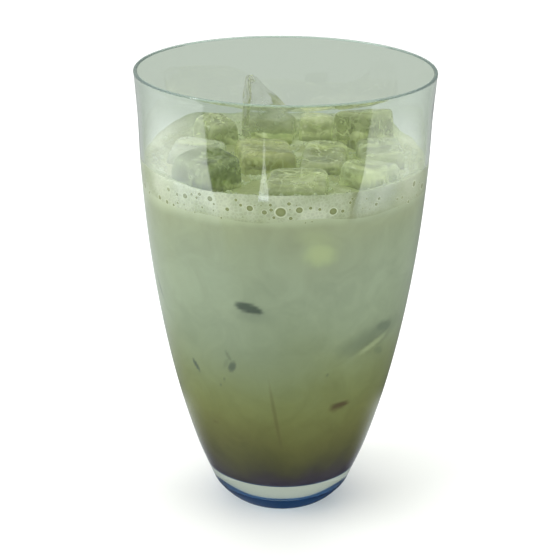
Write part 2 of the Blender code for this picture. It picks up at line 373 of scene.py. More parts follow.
def glass_material(name, colour, tint, roughness=0.0, ior=1.5):
    mat, nodes, links, bsdf = tree(name)
    bsdf.inputs["Base Color"].default_value = (*colour, 1.0)
    bsdf.inputs["Roughness"].default_value = roughness
    bsdf.inputs["IOR"].default_value = ior
    bsdf.inputs["Transmission Weight"].default_value = 1.0
    coord = nodes.new("ShaderNodeTexCoord")
    grain = node(nodes, "ShaderNodeTexNoise")
    grain.inputs["Scale"].default_value = 38.0
    grain.inputs["Detail"].default_value = 2.0
    bump = nodes.new("ShaderNodeBump")
    bump.inputs["Strength"].default_value = 0.03
    bump.inputs["Distance"].default_value = 0.002
    links.new(coord.outputs["Object"], grain.inputs["Vector"])
    links.new(grain.outputs["Fac"], bump.inputs["Height"])
    links.new(bump.outputs["Normal"], bsdf.inputs["Normal"])
    see_lamps(mat, tint)
    return mat


# Colour of the drink by height, as albedo.
LIQUID_TONES = (
    (11.0, (0.052, 0.040, 0.072)),
    (15.5, (0.053, 0.046, 0.056)),
    (19.5, (0.072, 0.067, 0.041)),
    (25.0, (0.099, 0.098, 0.038)),
    (32.0, (0.132, 0.134, 0.045)),
    (40.0, (0.170, 0.184, 0.066)),
    (49.0, (0.190, 0.216, 0.088)),
    (58.0, (0.223, 0.261, 0.138)),
    (68.0, (0.262, 0.313, 0.206)),
    (82.0, (0.292, 0.343, 0.244)),
    (96.0, (0.284, 0.326, 0.216)),
    (104.0, (0.310, 0.345, 0.218)),
)
FOAM_TONE = (0.450, 0.500, 0.330)
SUNK_TONE = (0.070, 0.092, 0.072)
STAIN_TONE = (0.085, 0.062, 0.032)
# Painted reflection: the dark blue of the surface under the glass, put on the drink's bottom.
BLUE_REFLECTION_TONE = (0.050, 0.130, 0.290)
# Tone of the painted glint and highlight, also used for the paler patches.
GLINT_AND_PALE_TONE = (0.400, 0.460, 0.250)


def liquid_material(name):
    """Milky tea: its tone follows the height, stirred by slow clouds, and is lighter on the left and darker on the
    right as painted light from the left; froth where the froth is mixed in, and a darker, clearer tone where sunk ice
    comes near the wall."""
    mat, nodes, links, bsdf = tree(name)
    coord = nodes.new("ShaderNodeTexCoord")
    split = nodes.new("ShaderNodeSeparateXYZ")
    links.new(coord.outputs["Object"], split.inputs[0])
    cloud = node(nodes, "ShaderNodeTexNoise")
    cloud.inputs["Scale"].default_value = 34.0
    cloud.inputs["Detail"].default_value = 4.0
    cloud.inputs["Roughness"].default_value = 0.55
    cloud.inputs["Distortion"].default_value = 0.6
    links.new(coord.outputs["Object"], cloud.inputs["Vector"])
    sway = node(nodes, "ShaderNodeMapRange")
    sway.inputs["From Min"].default_value = 0.25
    sway.inputs["From Max"].default_value = 0.75
    sway.inputs["To Min"].default_value = -0.0045
    sway.inputs["To Max"].default_value = 0.0045
    links.new(cloud.outputs["Fac"], sway.inputs["Value"])
    # Painted light: the tone reads higher up the ramp on the left and lower on the right, so the left side is lighter,
    # as if lit from the left.
    lean = node(nodes, "ShaderNodeMapRange")
    lean.inputs["From Min"].default_value = -0.040
    lean.inputs["From Max"].default_value = 0.040
    lean.inputs["To Min"].default_value = 0.0034
    lean.inputs["To Max"].default_value = -0.0010
    links.new(split.outputs["X"], lean.inputs["Value"])
    level = node(nodes, "ShaderNodeMath", operation="ADD")
    links.new(split.outputs["Z"], level.inputs[0])
    links.new(lean.outputs["Result"], level.inputs[1])
    height = node(nodes, "ShaderNodeMath", operation="ADD")
    links.new(level.outputs[0], height.inputs[0])
    links.new(sway.outputs["Result"], height.inputs[1])
    share = node(nodes, "ShaderNodeMapRange")
    share.inputs["From Min"].default_value = LIQUID_TONES[0][0] / 1000
    share.inputs["From Max"].default_value = LIQUID_TONES[-1][0] / 1000
    links.new(height.outputs[0], share.inputs["Value"])
    ramp = nodes.new("ShaderNodeValToRGB")
    ramp.color_ramp.interpolation = "B_SPLINE"
    low, high = LIQUID_TONES[0][0], LIQUID_TONES[-1][0]
    steps = ramp.color_ramp.elements
    steps[0].position, steps[1].position = 0.0, 1.0
    for z, _ in LIQUID_TONES[1:-1]:
        steps.new((z - low) / (high - low))
    for step, (_, colour) in zip(steps, LIQUID_TONES):
        step.color = (*colour, 1.0)
    links.new(share.outputs["Result"], ramp.inputs["Fac"])

    wisp = node(nodes, "ShaderNodeTexNoise")
    wisp.inputs["Scale"].default_value = 95.0
    wisp.inputs["Detail"].default_value = 5.0
    wisp.inputs["Roughness"].default_value = 0.6
    wisp.inputs["Distortion"].default_value = 1.1
    links.new(coord.outputs["Object"], wisp.inputs["Vector"])
    fleck = node(nodes, "ShaderNodeMapRange")
    fleck.inputs["From Min"].default_value = 0.3
    fleck.inputs["From Max"].default_value = 0.7
    fleck.inputs["To Min"].default_value = 0.93
    fleck.inputs["To Max"].default_value = 1.07
    links.new(wisp.outputs["Fac"], fleck.inputs["Value"])
    tone = node(nodes, "ShaderNodeMix", data_type="RGBA", blend_type="MULTIPLY")
    tone.inputs["Factor"].default_value = 1.0
    links.new(ramp.outputs["Color"], tone.inputs[6])
    links.new(fleck.outputs["Result"], tone.inputs[7])

    sunk = node(nodes, "ShaderNodeAttribute", attribute_name="sunk")
    cold = node(nodes, "ShaderNodeMix", data_type="RGBA")
    cold.inputs[7].default_value = (*SUNK_TONE, 1.0)
    links.new(sunk.outputs["Fac"], cold.inputs["Factor"])
    links.new(tone.outputs[2], cold.inputs[6])

    froth = node(nodes, "ShaderNodeAttribute", attribute_name="froth")
    milky = node(nodes, "ShaderNodeMix", data_type="RGBA")
    milky.inputs[7].default_value = (*FOAM_TONE, 1.0)
    links.new(froth.outputs["Fac"], milky.inputs["Factor"])
    before = cold
    # Marks on top of the tone: stains; painted glints and a painted highlight line, with paler patches; and the
    # painted reflection of a dark blue surface under the drink's bottom.
    for attribute, colour in (("stain", STAIN_TONE), ("glint_and_pale", GLINT_AND_PALE_TONE), ("under", BLUE_REFLECTION_TONE)):
        mark = node(nodes, "ShaderNodeAttribute", attribute_name=attribute)
        patch = node(nodes, "ShaderNodeMix", data_type="RGBA")
        patch.inputs[7].default_value = (*colour, 1.0)
        links.new(mark.outputs["Fac"], patch.inputs["Factor"])
        links.new(before.outputs[2], patch.inputs[6])
        before = patch
    links.new(before.outputs[2], milky.inputs[6])
    links.new(milky.outputs[2], bsdf.inputs["Base Color"])
    bsdf.inputs["Roughness"].default_value = 0.42
    bsdf.inputs["Specular IOR Level"].default_value = 0.1
    return mat


def froth_material(name):
    mat, nodes, links, bsdf = tree(name)
    coord = nodes.new("ShaderNodeTexCoord")
    fine = node(nodes, "ShaderNodeTexVoronoi", feature="DISTANCE_TO_EDGE")
    fine.inputs["Scale"].default_value = 950.0
    wide = node(nodes, "ShaderNodeTexNoise")
    wide.inputs["Scale"].default_value = 120.0
    wide.inputs["Detail"].default_value = 4.0
    links.new(coord.outputs["Object"], fine.inputs["Vector"])
    links.new(coord.outputs["Object"], wide.inputs["Vector"])
    ramp = nodes.new("ShaderNodeValToRGB")
    ramp.color_ramp.elements[0].position = 0.30
    ramp.color_ramp.elements[0].color = (0.330, 0.378, 0.222, 1.0)
    ramp.color_ramp.elements[1].position = 0.62
    ramp.color_ramp.elements[1].color = (0.520, 0.562, 0.420, 1.0)
    links.new(wide.outputs["Fac"], ramp.inputs["Fac"])
    cell = node(nodes, "ShaderNodeMapRange")
    cell.inputs["From Max"].default_value = 0.25
    cell.inputs["To Min"].default_value = 1.08
    cell.inputs["To Max"].default_value = 0.90
    links.new(fine.outputs["Distance"], cell.inputs["Value"])
    tone = node(nodes, "ShaderNodeMix", data_type="RGBA", blend_type="MULTIPLY")
    tone.inputs["Factor"].default_value = 1.0
    links.new(ramp.outputs["Color"], tone.inputs[6])
    links.new(cell.outputs["Result"], tone.inputs[7])
    froth = node(nodes, "ShaderNodeAttribute", attribute_name="froth")
    blend = node(nodes, "ShaderNodeMix", data_type="RGBA")
    blend.inputs[6].default_value = (0.215, 0.245, 0.110, 1.0)
    links.new(froth.outputs["Fac"], blend.inputs["Factor"])
    links.new(tone.outputs[2], blend.inputs[7])
    links.new(blend.outputs[2], bsdf.inputs["Base Color"])
    bump = nodes.new("ShaderNodeBump")
    bump.inputs["Strength"].default_value = 0.5
    bump.inputs["Distance"].default_value = 0.0004
    links.new(fine.outputs["Distance"], bump.inputs["Height"])
    links.new(bump.outputs["Normal"], bsdf.inputs["Normal"])
    bsdf.inputs["Roughness"].default_value = 0.45
    bsdf.inputs["Specular IOR Level"].default_value = 0.35
    return mat


def pocket_material(name):
    """The drink's skin round the ice: froth at its mouth, deep green tea further down."""
    mat, nodes, links, bsdf = tree(name)
    coord = nodes.new("ShaderNodeTexCoord")
    split = nodes.new("ShaderNodeSeparateXYZ")
    links.new(coord.outputs["Object"], split.inputs[0])
    cloud = node(nodes, "ShaderNodeTexNoise")
    cloud.inputs["Scale"].default_value = 150.0
    cloud.inputs["Detail"].default_value = 4.0
    links.new(coord.outputs["Object"], cloud.inputs["Vector"])
    sway = node(nodes, "ShaderNodeMapRange")
    sway.inputs["From Min"].default_value = 0.25
    sway.inputs["From Max"].default_value = 0.75
    sway.inputs["To Min"].default_value = -0.0035
    sway.inputs["To Max"].default_value = 0.0035
    links.new(cloud.outputs["Fac"], sway.inputs["Value"])
    height = node(nodes, "ShaderNodeMath", operation="ADD")
    links.new(split.outputs["Z"], height.inputs[0])
    links.new(sway.outputs["Result"], height.inputs[1])
    share = node(nodes, "ShaderNodeMapRange")
    share.inputs["From Min"].default_value = 0.092
    share.inputs["From Max"].default_value = 0.110
    links.new(height.outputs[0], share.inputs["Value"])
    ramp = nodes.new("ShaderNodeValToRGB")
    steps = ramp.color_ramp.elements
    steps[0].position, steps[0].color = 0.0, (0.300, 0.340, 0.130, 1.0)
    steps[1].position, steps[1].color = 1.0, (0.560, 0.600, 0.370, 1.0)
    middle = steps.new(0.50)
    middle.color = (0.400, 0.440, 0.190, 1.0)
    upper = steps.new(0.80)
    upper.color = (0.480, 0.520, 0.270, 1.0)
    links.new(share.outputs["Result"], ramp.inputs["Fac"])
    links.new(ramp.outputs["Color"], bsdf.inputs["Base Color"])
    bsdf.inputs["Roughness"].default_value = 0.4
    return mat


def ice_material(name, colour, clear, capped):
    """Wet ice with tea in and on it: cloudy streaks, fine trapped bubbles, edges lighter, partly frost and partly
    painted highlight, froth left where it meets the surface, and on some cubes a cap of froth."""
    mat, nodes, links, bsdf = tree(name)
    coord = nodes.new("ShaderNodeTexCoord")
    wet = node(nodes, "ShaderNodeTexNoise")
    wet.inputs["Scale"].default_value = 120.0
    wet.inputs["Detail"].default_value = 4.0
    wet.inputs["Distortion"].default_value = 0.8
    links.new(coord.outputs["Object"], wet.inputs["Vector"])
    ramp = nodes.new("ShaderNodeValToRGB")
    steps = ramp.color_ramp.elements
    steps[0].position, steps[0].color = 0.34, (*[c * 0.72 for c in colour], 1.0)
    steps[1].position, steps[1].color = 0.66, (*[min(c * 1.30, 0.93) for c in colour], 1.0)
    links.new(wet.outputs["Fac"], ramp.inputs["Fac"])
    edge_frost_and_glint = node(nodes, "ShaderNodeAttribute", attribute_name="edge_frost_and_glint")
    rim = node(nodes, "ShaderNodeMapRange", interpolation_type="SMOOTHSTEP")
    rim.inputs["From Min"].default_value = 0.62
    rim.inputs["From Max"].default_value = 0.93
    rim.inputs["To Max"].default_value = 0.75
    links.new(edge_frost_and_glint.outputs["Fac"], rim.inputs["Value"])
    # Partly frost, partly painted highlight: a lighter tone near the cube's edges.
    edge_and_side_shift = node(nodes, "ShaderNodeMix", data_type="RGBA")
    edge_and_side_shift.inputs[7].default_value = (*[min(c * 1.25 + 0.16, 0.93) for c in colour], 1.0)
    links.new(rim.outputs["Result"], edge_and_side_shift.inputs["Factor"])
    links.new(ramp.outputs["Color"], edge_and_side_shift.inputs[6])
    seeds = node(nodes, "ShaderNodeTexVoronoi")
    seeds.inputs["Scale"].default_value = 460.0
    links.new(coord.outputs["Object"], seeds.inputs["Vector"])
    where = node(nodes, "ShaderNodeTexNoise")
    where.inputs["Scale"].default_value = 70.0
    links.new(coord.outputs["Object"], where.inputs["Vector"])
    near = node(nodes, "ShaderNodeMapRange")
    near.inputs["From Min"].default_value = 0.34
    near.inputs["From Max"].default_value = 0.20
    near.inputs["To Max"].default_value = 0.95
    links.new(seeds.outputs["Distance"], near.inputs["Value"])
    patch = node(nodes, "ShaderNodeMapRange")
    patch.inputs["From Min"].default_value = 0.46
    patch.inputs["From Max"].default_value = 0.58
    links.new(where.outputs["Fac"], patch.inputs["Value"])
    specks = node(nodes, "ShaderNodeMath", operation="MULTIPLY")
    links.new(near.outputs["Result"], specks.inputs[0])
    links.new(patch.outputs["Result"], specks.inputs[1])
    beads = node(nodes, "ShaderNodeMix", data_type="RGBA")
    beads.inputs[7].default_value = (*[min(c * 1.5 + 0.22, 0.95) for c in colour], 1.0)
    links.new(specks.outputs[0], beads.inputs["Factor"])
    links.new(edge_and_side_shift.outputs[2], beads.inputs[6])
    bend = node(nodes, "ShaderNodeMix", data_type="RGBA", blend_type="LINEAR_LIGHT")
    bend.inputs["Factor"].default_value = 0.0045
    links.new(coord.outputs["Object"], bend.inputs[6])
    links.new(wet.outputs["Color"], bend.inputs[7])
    cells = node(nodes, "ShaderNodeTexVoronoi", feature="DISTANCE_TO_EDGE")
    cells.inputs["Scale"].default_value = 190.0
    links.new(bend.outputs[2], cells.inputs["Vector"])
    seam = node(nodes, "ShaderNodeMapRange")
    seam.inputs["From Min"].default_value = 0.085
    seam.inputs["From Max"].default_value = 0.030
    seam.inputs["To Max"].default_value = 0.60
    links.new(cells.outputs["Distance"], seam.inputs["Value"])
    cracks = node(nodes, "ShaderNodeMix", data_type="RGBA")
    cracks.inputs[7].default_value = (*[min(c * 1.3 + 0.20, 0.95) for c in colour], 1.0)
    links.new(seam.outputs["Result"], cracks.inputs["Factor"])
    links.new(beads.outputs[2], cracks.inputs[6])
    split = nodes.new("ShaderNodeSeparateXYZ")
    links.new(coord.outputs["Object"], split.inputs[0])
    sway = node(nodes, "ShaderNodeMapRange")
    sway.inputs["To Min"].default_value = -0.0011
    sway.inputs["To Max"].default_value = 0.0011
    links.new(wet.outputs["Fac"], sway.inputs["Value"])
    height = node(nodes, "ShaderNodeMath", operation="ADD")
    links.new(split.outputs["Z"], height.inputs[0])
    links.new(sway.outputs["Result"], height.inputs[1])
    line = node(nodes, "ShaderNodeMapRange")
    line.inputs["From Min"].default_value = 0.1102
    line.inputs["From Max"].default_value = 0.1086
    line.inputs["To Max"].default_value = 0.60
    links.new(height.outputs[0], line.inputs["Value"])
    skin = node(nodes, "ShaderNodeMix", data_type="RGBA")
    skin.inputs[7].default_value = (0.480, 0.530, 0.320, 1.0)
    links.new(line.outputs["Result"], skin.inputs["Factor"])
    links.new(cracks.outputs[2], skin.inputs[6])
    last = skin
    if capped:
        top = node(nodes, "ShaderNodeMapRange")
        top.inputs["From Min"].default_value = (capped - 0.3) / 1000
        top.inputs["From Max"].default_value = (capped + 0.5) / 1000
        links.new(height.outputs[0], top.inputs["Value"])
        last = node(nodes, "ShaderNodeMix", data_type="RGBA")
        last.inputs[7].default_value = (0.560, 0.600, 0.420, 1.0)
        links.new(top.outputs["Result"], last.inputs["Factor"])
        links.new(skin.outputs[2], last.inputs[6])
    links.new(last.outputs[2], bsdf.inputs["Base Color"])
    bsdf.inputs["IOR"].default_value = 1.31 if clear < 0.9 else 1.13
    bsdf.inputs["Transmission Weight"].default_value = clear
    bump = nodes.new("ShaderNodeBump")
    bump.inputs["Strength"].default_value = 0.55
    bump.inputs["Distance"].default_value = 0.0014
    links.new(wet.outputs["Fac"], bump.inputs["Height"])
    links.new(bump.outputs["Normal"], bsdf.inputs["Normal"])
    haze = node(nodes, "ShaderNodeMapRange")
    haze.inputs["From Min"].default_value = 0.38
    haze.inputs["From Max"].default_value = 0.68
    haze.inputs["To Min"].default_value = 0.04
    haze.inputs["To Max"].default_value = 0.32
    links.new(wet.outputs["Fac"], haze.inputs["Value"])
    links.new(haze.outputs["Result"], bsdf.inputs["Roughness"])
    see_lamps(mat, (0.88, 0.92, 0.80))
    return mat


clear_glass = glass_material("clear_glass", (0.86, 0.90, 0.865), (0.95, 0.965, 0.95))
heel_glass = glass_material("heel_glass", (0.74, 0.85, 0.92), (0.85, 0.92, 0.95))
lip_glass = glass_material("lip_glass", (0.42, 0.55, 0.50), (0.95, 0.97, 0.95), roughness=0.12, ior=1.45)
lip_glass.node_tree.nodes["Principled BSDF"].inputs["Alpha"].default_value = 0.66
lip_glass.node_tree.nodes["Principled BSDF"].inputs["Transmission Weight"].default_value = 0.50


def paint_heel_reflection(mat):
    """Painted reflection: the heel is tinted deep blue where it is seen at a slant, for the dark blue surface under
    the glass, and clear where it is seen square on.
    """
    nodes, links = mat.node_tree.nodes, mat.node_tree.links
    slant = nodes.new("ShaderNodeLayerWeight")
    slant.inputs["Blend"].default_value = 0.5
    ramp = nodes.new("ShaderNodeValToRGB")
    steps = ramp.color_ramp.elements
    steps[0].position, steps[0].color = 0.30, (0.70, 0.73, 0.66, 1.0)
    steps[1].position, steps[1].color = 0.42, (0.0005, 0.0075, 0.070, 1.0)
    links.new(slant.outputs["Facing"], ramp.inputs["Fac"])
    links.new(ramp.outputs["Color"], nodes["Principled BSDF"].inputs["Base Color"])


paint_heel_reflection(heel_glass)
liquid = liquid_material("milky_tea")
froth_mat = froth_material("froth")
pocket_mat = pocket_material("ice_pocket")
# ---------------------------------------------------------------- the tumbler
lip_out, lip_in = outer_radius(135.5), inner_wall_radius(135.5)
half = (RIM_RADIUS - lip_in) / 2
lip_mid = (RIM_RADIUS + lip_in) / 2
lip = [(lip_mid + half * math.cos(t), GLASS_HEIGHT - half + half * math.sin(t)) for t in (math.pi * k / 12 for k in range(13))]
floor_ring = [(r, 0.0) for r in (0.0, 5.0, 10.0)]
outline = floor_ring + outer_profile() + lip + inner_profile()[::-1] + [(8.0, FLOOR_HEIGHT), (0.0, FLOOR_HEIGHT)]


def glass_part(face):
    c = face.calc_center_median()
    r = math.hypot(c.x, c.y)
    if c.z > GLASS_HEIGHT - 1.1:
        return 2
    return 1 if c.z < 6.2 and r > FOOT_RADIUS - 0.2 else 0


glass = turned("tumbler", outline, [clear_glass, heel_glass, lip_glass], 224, glass_part)
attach(glass, "root")
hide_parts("glass")


# ---------------------------------------------------------------- ice shapes
def ice_mesh(size, seed, edges, grow=0.0, segments=3, fine=False):
    """A moulded ice cube: tapered, rounded at its edges, its faces a little sunk and uneven.
    fine adds the melted, wavy skin."""
    rng = random.Random(seed)
    bm = bmesh.new()
    bmesh.ops.create_cube(bm, size=1.0)
    for v in bm.verts:
        taper = 1.0 - 0.04 * (v.co.z + 0.5)
        jitter = Vector((rng.uniform(-1, 1), rng.uniform(-1, 1), rng.uniform(-1, 1)))
        v.co = Vector((v.co.x * size[0] * taper, v.co.y * size[1] * taper, v.co.z * size[2])) + jitter * 0.7
    sides = list(bm.faces)
    for dip in bmesh.ops.poke(bm, faces=sides, offset=-0.55, center_mode="MEAN")["verts"]:
        dip.co += Vector((rng.uniform(-1, 1), rng.uniform(-1, 1), rng.uniform(-1, 1))) * 0.25
    sharp = [e for e in bm.edges if e.calc_face_angle(0.0) > math.radians(50)]
    bmesh.ops.bevel(bm, geom=sharp, offset=2.8, segments=segments, profile=0.55, affect="EDGES", clamp_overlap=True)
    # How close each point is to an edge; the material lightens the tone there, partly as frost and partly as painted
    # highlight.
    edge_frost_and_glint = bm.verts.layers.float.new("edge_frost_and_glint")
    for v in bm.verts:
        v[edge_frost_and_glint] = sorted(abs(c) * 2 / s for c, s in zip(v.co, size))[1]
        v.co = sum((Vector(edge) * c for edge, c in zip(edges, v.co)), Vector())
    bmesh.ops.remove_doubles(bm, verts=bm.verts, dist=0.02)
    bmesh.ops.recalc_face_normals(bm, faces=bm.faces)
    bmesh.ops.triangulate(bm, faces=bm.faces)
    if fine:
        for _ in range(4):
            long_edges = [e for e in bm.edges if e.calc_length() > 1.5]
            if not long_edges:
                break
            bmesh.ops.subdivide_edges(bm, edges=long_edges, cuts=1)
            bmesh.ops.triangulate(bm, faces=bm.faces)
        for _ in range(3):
            bmesh.ops.smooth_vert(bm, verts=bm.verts, factor=0.4, use_axis_x=True, use_axis_y=True, use_axis_z=True)
        bm.normal_update()
        moves = {}
        for v in bm.verts:
            p = v.co + Vector((seed * 11.0, 0, 0))
            moves[v] = v.normal * (0.42 * noise.noise(p * 0.16) + 0.10 * noise.noise(p * 0.55) - 0.12)
        for v, d in moves.items():
            v.co += d
    if grow:
        bm.normal_update()
        moved = {v: v.co + v.normal * grow * v.calc_shell_factor() for v in bm.verts}
        for v, co in moved.items():
            v.co = co
    return bm


def placed(bm, centre, turn):
    spin = Euler([math.radians(t) for t in turn], "XYZ").to_matrix().to_4x4()
    bmesh.ops.transform(bm, matrix=Matrix.Translation(Vector(centre)) @ spin, verts=bm.verts)


for number, (name, centre, size, turn, edges) in enumerate(ICE):
    bm = ice_mesh(size, 40 + number, edges, fine=True)
    placed(bm, centre, turn)
    to_metres(bm)
    cube = new_object(name + "_clear", bm, [ice_material("wet_" + name, *ICE_LOOKS[name])], 0)
    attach(cube, "root")
    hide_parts(name)

# The pockets that the ice sits in, a touch smaller than the ice, so that the tea wets it all over.
bm = bmesh.new()
for number, (name, centre, size, turn, edges) in enumerate(ICE):
    one = ice_mesh(size, 40 + number, edges, grow=-0.22, segments=4)
    placed(one, centre, turn)
    hold = bpy.data.meshes.new("hold")
    one.to_mesh(hold)
    one.free()
    bm.from_mesh(hold)
    bpy.data.meshes.remove(hold)
to_metres(bm)
pockets = new_object("pockets", bm, [pocket_mat], 0)
pockets.hide_render = True
pockets.hide_viewport = False


# ---------------------------------------------------------------- sunk ice
def wall_point(azimuth, z):
    a = math.radians(azimuth)
    r = drink_radius(z)
    return Vector((r * math.sin(a), -r * math.cos(a), z))


def wall_frame(azimuth, z):
    """Outward normal, sideways and upward directions of the drink's skin."""
    a = math.radians(azimuth)
    slope = (drink_radius(z + 1) - drink_radius(z - 1)) / 2
    out = Vector((math.sin(a), -math.cos(a), -slope)).normalized()
    side = Vector((math.cos(a), math.sin(a), 0.0))
    up = out.cross(side) * -1.0
    if up.z < 0:
        up.negate()
    return out, side, up


SUNK_ROUND = 3.0


def sunk_box(azimuth, z, twist, size, poke):
    """Centre, axes and half sizes of a sunk cube that comes near the drink's skin at that place."""
    out, side, up = wall_frame(azimuth, z)
    t = math.radians(twist)
    along = side * math.cos(t) + up * math.sin(t)
    across = out.cross(along).normalized()
    lean = Matrix.Rotation(math.radians(5), 3, along)
    axes = [along, lean @ across, lean @ out]
    halves = [size / 2 * s for s in (1.0, 0.94, 0.88)]
    reach = sum(abs(out.dot(a)) * (h - SUNK_ROUND) for a, h in zip(axes, halves)) + SUNK_ROUND
    return wall_point(azimuth, z) - out * (reach - poke), axes, halves


SUNK_BOXES = [sunk_box(*entry) for entry in SUNK]


def ovals(points, table):
    """Strength at each point of the soft, slightly uneven ovals in a table."""
    found = np.zeros(len(points))
    az = np.degrees(np.arctan2(points[:, 0], -points[:, 1]))
    radius = np.hypot(points[:, 0], points[:, 1])
    for azimuth, z, twist, long, wide, strength, soft in table:
        off = (az - azimuth + 180.0) % 360.0 - 180.0
        u, v = np.radians(off) * radius, points[:, 2] - z
        t = math.radians(twist)
        a = (u * math.cos(t) + v * math.sin(t)) / (long / 2)
        b = (-u * math.sin(t) + v * math.cos(t)) / (wide / 2)
        q = np.hypot(a, b)
        near = np.nonzero((q < 1 + 3 * soft) & (radius > drink_radius(z) - 4.0))[0]
        for i in near:
            wave = 1 + 0.16 * noise.noise(Vector(points[i]) * 0.5 + Vector((azimuth, 0, 0)))
            share = strength * (1 - smooth(1 - soft, 1 + 1.6 * soft, q[i] * wave))
            found[i] = max(found[i], share)
    return found


def paint(obj, name, values):
    layer = obj.data.attributes.new(name, "FLOAT", "POINT")
    layer.data.foreach_set("value", np.asarray(values, dtype=np.float32))


def vertex_mm(obj):
    co = np.empty(len(obj.data.vertices) * 3, dtype=np.float64)
    obj.data.vertices.foreach_get("co", co)
    return co.reshape(-1, 3) * 1000.0


def froth_share(points):
    """1 in the froth, 0 in the tea: a wavy, soft border down the wall, and on top a ring of froth
    along the glass that breaks up into patches between the ice."""
    shares = np.empty(len(points))
    for i, (x, y, z) in enumerate(points):
        az = math.atan2(x, -y)
        border = 103.6 - 0.9 * (1 - math.cos(az)) + 0.8 * math.sin(az)
        border += 0.9 * noise.noise(Vector((x, y, 0)) * 0.07) + 0.45 * noise.noise(Vector((x, y, 5)) * 0.3)
        share = smooth(border - 3.2, border + 1.0, z)
        r = math.hypot(x, y)
        reach = 2.9 + 1.6 * noise.noise(Vector((x, y, 9)) * 0.16)
        inner = smooth(drink_radius(FOAM_TOP) - 0.4, drink_radius(FOAM_TOP) - 0.8 * reach, r)
        thin = 0.38 * smooth(0.0, 0.45, noise.noise(Vector((x, y, 3)) * 0.13) + 0.5 * noise.noise(Vector((x, y, 8)) * 0.4))
        # Painted shade: a narrow stripe of thinner, darker froth at azimuth 27.5 degrees, where the glass's side
        # reflection ends.
        gap = smooth(2.4, 0.8, abs(math.degrees(az) - 27.5 - 0.16 * (z - 107.0)))
        # Less froth towards the right and towards the far left, so the tone there is darker.
        edge_and_side_shift = 0.56 * smooth(8, 32, x) + 0.34 * smooth(-26, -40, x)
        shares[i] = share * (1 - inner * (1 - thin)) * (1 - 0.65 * gap) * (1 - edge_and_side_shift)
    return shares


# ---------------------------------------------------------------- the drink
def drink_layer(name, mats, count, top, over, under=None, bottom=None, gain=0.35, step=1.0, cap_rings=10):
    """A closed layer: side against the wall, wavy top and bottom that match its neighbours'."""
    turns = angles(count, gain)
    bm = bmesh.new()

    def ring(point):
        return [bm.verts.new(point(a)) for a in turns]

    def cap(level, shape, share):
        def point(a):
            edge = drink_radius(level)
            z = level + shape(edge * share * math.cos(a), edge * share * math.sin(a))
            r = drink_radius(z) * share
            return (r * math.cos(a), r * math.sin(a), z)
        return point

    shares = [(k / cap_rings) ** 0.8 for k in range(1, cap_rings + 1)]
    rings = []
    if under is None:
        start = DRINK_EDGE[0]
        for share in (0.4, 0.75):
            rings.append(ring(lambda a: (start[0] * share * math.cos(a), start[0] * share * math.sin(a), start[1])))
        corner = [p for p in DRINK_EDGE if p[1] < FLOOR_HEIGHT + FILLET_HEIGHT + 0.1]
        for r, z in corner:
            rings.append(ring(lambda a: (r * math.cos(a), r * math.sin(a), z)))
        low = corner[-1][1]
    else:
        for share in shares:
            rings.append(ring(cap(bottom, under, share)))
        low = bottom
    steps = max(1, round((top - low) / step))
    for j in range(1, steps):
        t = j / steps

        def point(a):
            z0 = low
            if under is not None:
                edge = drink_radius(low)
                z0 += under(edge * math.cos(a), edge * math.sin(a))
            edge = drink_radius(top)
            z1 = top + over(edge * math.cos(a), edge * math.sin(a))
            z = z0 + (z1 - z0) * t
            r = drink_radius(z)
            return (r * math.cos(a), r * math.sin(a), z)
        rings.append(ring(point))
    for share in shares[::-1]:
        rings.append(ring(cap(top, over, share)))
    for lower, upper in zip(rings, rings[1:]):
        for k in range(count):
            n = (k + 1) % count
            bm.faces.new((lower[k], lower[n], upper[n], upper[k]))
    for end in (rings[0], rings[-1]):
        middle = bm.verts.new(sum((v.co for v in end), Vector()) / count)
        for k in range(count):
            bm.faces.new((middle, end[k], end[(k + 1) % count]))
    bmesh.ops.recalc_face_normals(bm, faces=bm.faces)
    to_metres(bm)
    return new_object(name, bm, mats)


def cut_pockets(obj):
    """Cuts the ice's pockets out of a layer, and keeps the result as its mesh."""
    obj.data.materials.append(pocket_mat)
    cut = obj.modifiers.new("pockets", "BOOLEAN")
    cut.operation = "DIFFERENCE"
    cut.solver = "EXACT"
    cut.object = pockets
    cut.material_mode = "TRANSFER"
    graph = bpy.context.evaluated_depsgraph_get()
    done = bpy.data.meshes.new_from_object(obj.evaluated_get(graph))
    obj.modifiers.clear()
    old = obj.data
    obj.data = done
    bpy.data.meshes.remove(old)


dark = drink_layer("sweet_bottom", [liquid], 300, DARK_TOP, over_dark)
matcha = drink_layer("matcha_body", [liquid], 420, MATCHA_TOP, over_matcha, over_dark, DARK_TOP, step=0.8)
milk = drink_layer("milky_top", [liquid], 420, MILK_TOP, over_milk, over_matcha, MATCHA_TOP, step=0.8)
foam = drink_layer("froth_cap", [froth_mat], 420, FOAM_TOP, froth_relief, over_milk, MILK_TOP, step=0.45, cap_rings=56)
cut_pockets(milk)
cut_pockets(foam)
for piece, nodename, slot in (
    (dark, "dark_layer", "dark_sweet_layer"),
    (matcha, "matcha_layer", "matcha_layer"),
    (milk, "milk_layer", "milky_matcha"),
    (foam, "foam", "froth"),
):
    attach(piece, "root")
    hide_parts(nodename)
    places = vertex_mm(piece)
    # Cold spots, stains, and the painted glints and highlight with paler patches, each from its table of ovals.
    for attribute, table in (("sunk", COLD), ("stain", STAINS), ("glint_and_pale", GLINTS_AND_PALE_PATCHES)):
        paint(piece, attribute, ovals(places, table) if piece is not foam else np.zeros(len(places)))
    # Painted reflection: the bottom 1 mm of the drink takes the dark blue of the surface below.
    paint(piece, "under", np.clip((12.0 - places[:, 2]) / 0.7, 0.0, 1.0))
    paint(piece, "froth", froth_share(places) if piece in (milk, foam) else np.zeros(len(places)))

bpy.data.objects.remove(pockets, do_unlink=True)

